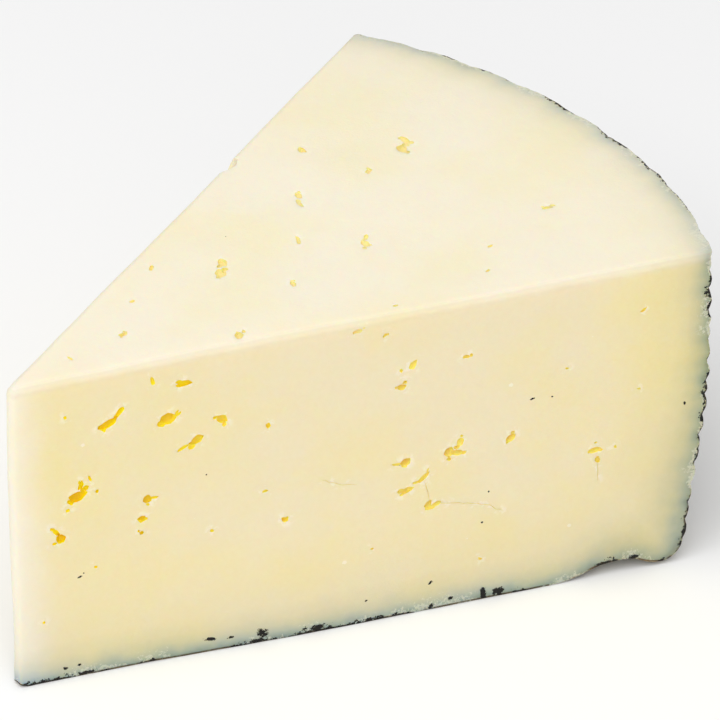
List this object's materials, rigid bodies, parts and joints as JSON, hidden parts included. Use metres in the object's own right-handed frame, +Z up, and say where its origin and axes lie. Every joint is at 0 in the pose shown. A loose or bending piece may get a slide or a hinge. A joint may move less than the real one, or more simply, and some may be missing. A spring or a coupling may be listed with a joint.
{
  "type": "cheese wedge",
  "caption": "Wedge of pale pressed cheese with small irregular eyes and a dark patterned rind, cut from the lower half of a tall wheel; rests on its base.",
  "frame": {"origin": "middle of the bounding box in plan, at the height of the flat base", "axes": "+X from the tip of the wedge to the middle of the rind, +Y to the left of that, towards the back cut, +Z up from the base to the top cut"},
  "size_m": [0.1136, 0.0862, 0.0574],
  "materials": {
    "cheese": "smooth, faintly waxy ivory paste with a satin sheen on the cut sides, yellower inside the eyes, and a dry, dark, mottled rind on the curved side and the base"
  },
  "bodies": {
    "root": {"cheese_wedge": "cheese"}
  },
  "joints": []
}
